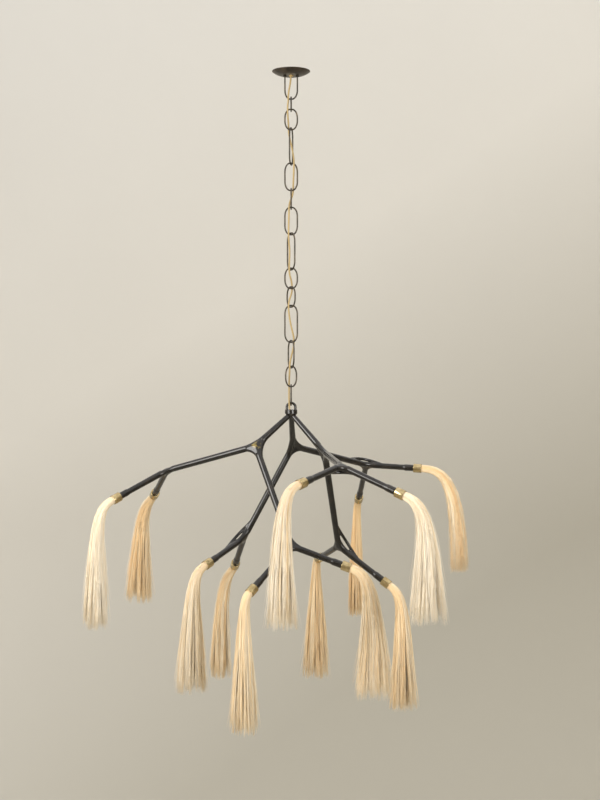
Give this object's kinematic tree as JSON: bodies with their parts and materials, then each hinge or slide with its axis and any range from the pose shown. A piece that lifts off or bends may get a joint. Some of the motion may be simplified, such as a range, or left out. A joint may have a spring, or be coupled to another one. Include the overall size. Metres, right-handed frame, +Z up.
{
  "type": "horsehair chandelier",
  "caption": "Hanging chandelier with forked blackened-bronze limbs, brass ferrules and drooping horsehair tassels, on a hand-made chain with a woven cloth cord.",
  "frame": {"origin": "on the ceiling, at the middle of the canopy dish and of the crossbar's two box-screw holes", "axes": "+Z up to the ceiling; seen from the front, +X to the right and +Y away"},
  "size_m": [1.237, 1.2039, 2.0186],
  "materials": {
    "blackened_bronze": "satin",
    "chain_steel": "satin",
    "dark_screws": "satin",
    "zinc_plate": "satin",
    "brass": "satin",
    "gold_cord": "satin",
    "horsehair": "satin",
    "lead_insulation": "matte",
    "light_board": "satin",
    "lens_clear": "gloss"
  },
  "bodies": {
    "canopy": {"canopy_dish": "blackened_bronze", "ceiling_crossbar": "zinc_plate", "earth_screw": "zinc_plate", "canopy_u_loop": "chain_steel", "u_loop_nuts": "dark_screws", "cord_bushing": "brass", "cord_stretch_00": "gold_cord"},
    "link_01": {"chain_link_01": "chain_steel", "cord_stretch_01": "gold_cord"},
    "link_02": {"chain_link_02": "chain_steel", "cord_stretch_02": "gold_cord"},
    "link_03": {"chain_link_03": "chain_steel", "cord_stretch_03": "gold_cord"},
    "link_04": {"chain_link_04": "chain_steel", "cord_stretch_04": "gold_cord"},
    "link_05": {"chain_link_05": "chain_steel", "cord_stretch_05": "gold_cord"},
    "link_06": {"chain_link_06": "chain_steel", "cord_stretch_06": "gold_cord"},
    "link_07": {"chain_link_07": "chain_steel", "cord_stretch_07": "gold_cord"},
    "link_08": {"chain_link_08": "chain_steel", "cord_stretch_08": "gold_cord"},
    "link_09": {"chain_link_09": "chain_steel", "cord_stretch_09": "gold_cord"},
    "link_10": {"chain_link_10": "chain_steel", "cord_stretch_10": "gold_cord"},
    "link_11": {"chain_link_11": "chain_steel", "cord_stretch_11": "gold_cord"},
    "link_12": {"chain_link_12": "chain_steel", "cord_stretch_12": "gold_cord"},
    "link_13": {"chain_link_13": "chain_steel", "cord_stretch_13": "gold_cord"},
    "chandelier": {"cord_stretch_14": "gold_cord", "ferrules_back": "brass", "ferrules_left": "brass", "ferrules_right": "brass", "hair_tassel_01": "horsehair", "hair_tassel_02": "horsehair", "hair_tassel_03": "horsehair", "hair_tassel_04": "horsehair", "hair_tassel_05": "horsehair", "hair_tassel_06": "horsehair", "hair_tassel_07": "horsehair", "hair_tassel_08": "horsehair", "hair_tassel_09": "horsehair", "hair_tassel_10": "horsehair", "hair_tassel_11": "horsehair", "hair_tassel_12": "horsehair", "hub_core": "blackened_bronze", "hub_eye": "blackened_bronze", "hub_grub_screws": "dark_screws", "hub_plug": "blackened_bronze", "light_lenses": "lens_clear", "light_modules": "light_board", "limb_back": "blackened_bronze", "limb_leads": "lead_insulation", "limb_left": "blackened_bronze", "limb_right": "blackened_bronze"}
  },
  "joints": [
    {"name": "link_01_swing", "type": "hinge", "parent": "canopy", "child": "link_01", "pos_m": [0, 0, -0.088], "axis": [1, 0, 0], "range_deg": [-20, 20], "deforming": ["cord_stretch_00", "cord_stretch_01"]},
    {"name": "link_02_swing", "type": "hinge", "parent": "link_01", "child": "link_02", "pos_m": [0, 0, -0.1257], "axis": [0, 1, 0], "range_deg": [-20, 20], "deforming": ["cord_stretch_02"]},
    {"name": "link_03_swing", "type": "hinge", "parent": "link_02", "child": "link_03", "pos_m": [0, 0, -0.1844], "axis": [1, 0, 0], "range_deg": [-8, 8], "deforming": ["cord_stretch_03"]},
    {"name": "link_04_swing", "type": "hinge", "parent": "link_03", "child": "link_04", "pos_m": [0, 0, -0.2951], "axis": [0.2419, 0.9703, 0], "range_deg": [-8, 8], "deforming": ["cord_stretch_04"]},
    {"name": "link_05_swing", "type": "hinge", "parent": "link_04", "child": "link_05", "pos_m": [0, 0, -0.3758], "axis": [1, 0, 0], "range_deg": [-8, 8], "deforming": ["cord_stretch_05"]},
    {"name": "link_06_swing", "type": "hinge", "parent": "link_05", "child": "link_06", "pos_m": [0, 0, -0.4345], "axis": [0, 1, 0], "range_deg": [-8, 8], "deforming": ["cord_stretch_06"]},
    {"name": "link_07_swing", "type": "hinge", "parent": "link_06", "child": "link_07", "pos_m": [0, 0, -0.5152], "axis": [1, 0, 0], "range_deg": [-8, 8], "deforming": ["cord_stretch_07"]},
    {"name": "link_08_swing", "type": "hinge", "parent": "link_07", "child": "link_08", "pos_m": [0, 0, -0.6259], "axis": [0.5878, -0.809, 0], "range_deg": [-8, 8], "deforming": ["cord_stretch_08"]},
    {"name": "link_09_swing", "type": "hinge", "parent": "link_08", "child": "link_09", "pos_m": [0, 0, -0.6846], "axis": [1, 0, 0], "range_deg": [-8, 8], "deforming": ["cord_stretch_09"]},
    {"name": "link_10_swing", "type": "hinge", "parent": "link_09", "child": "link_10", "pos_m": [0, 0, -0.7433], "axis": [0.6428, -0.766, 0], "range_deg": [-8, 8], "deforming": ["cord_stretch_10"]},
    {"name": "link_11_swing", "type": "hinge", "parent": "link_10", "child": "link_11", "pos_m": [0, 0, -0.854], "axis": [1, 0, 0], "range_deg": [-8, 8], "deforming": ["cord_stretch_11"]},
    {"name": "link_12_swing", "type": "hinge", "parent": "link_11", "child": "link_12", "pos_m": [0, 0, -0.9347], "axis": [0.454, -0.891, 0], "range_deg": [-8, 8], "deforming": ["cord_stretch_12"]},
    {"name": "link_13_swing", "type": "hinge", "parent": "link_12", "child": "link_13", "pos_m": [0, 0, -0.9934], "axis": [0.866, 0.5, 0], "range_deg": [-8, 8], "deforming": ["cord_stretch_13"]},
    {"name": "chandelier_swing", "type": "hinge", "parent": "link_13", "child": "chandelier", "pos_m": [0, 0, -1.0521], "axis": [0, 1, 0], "range_deg": [-8, 8], "deforming": ["cord_stretch_14"]}
  ]
}
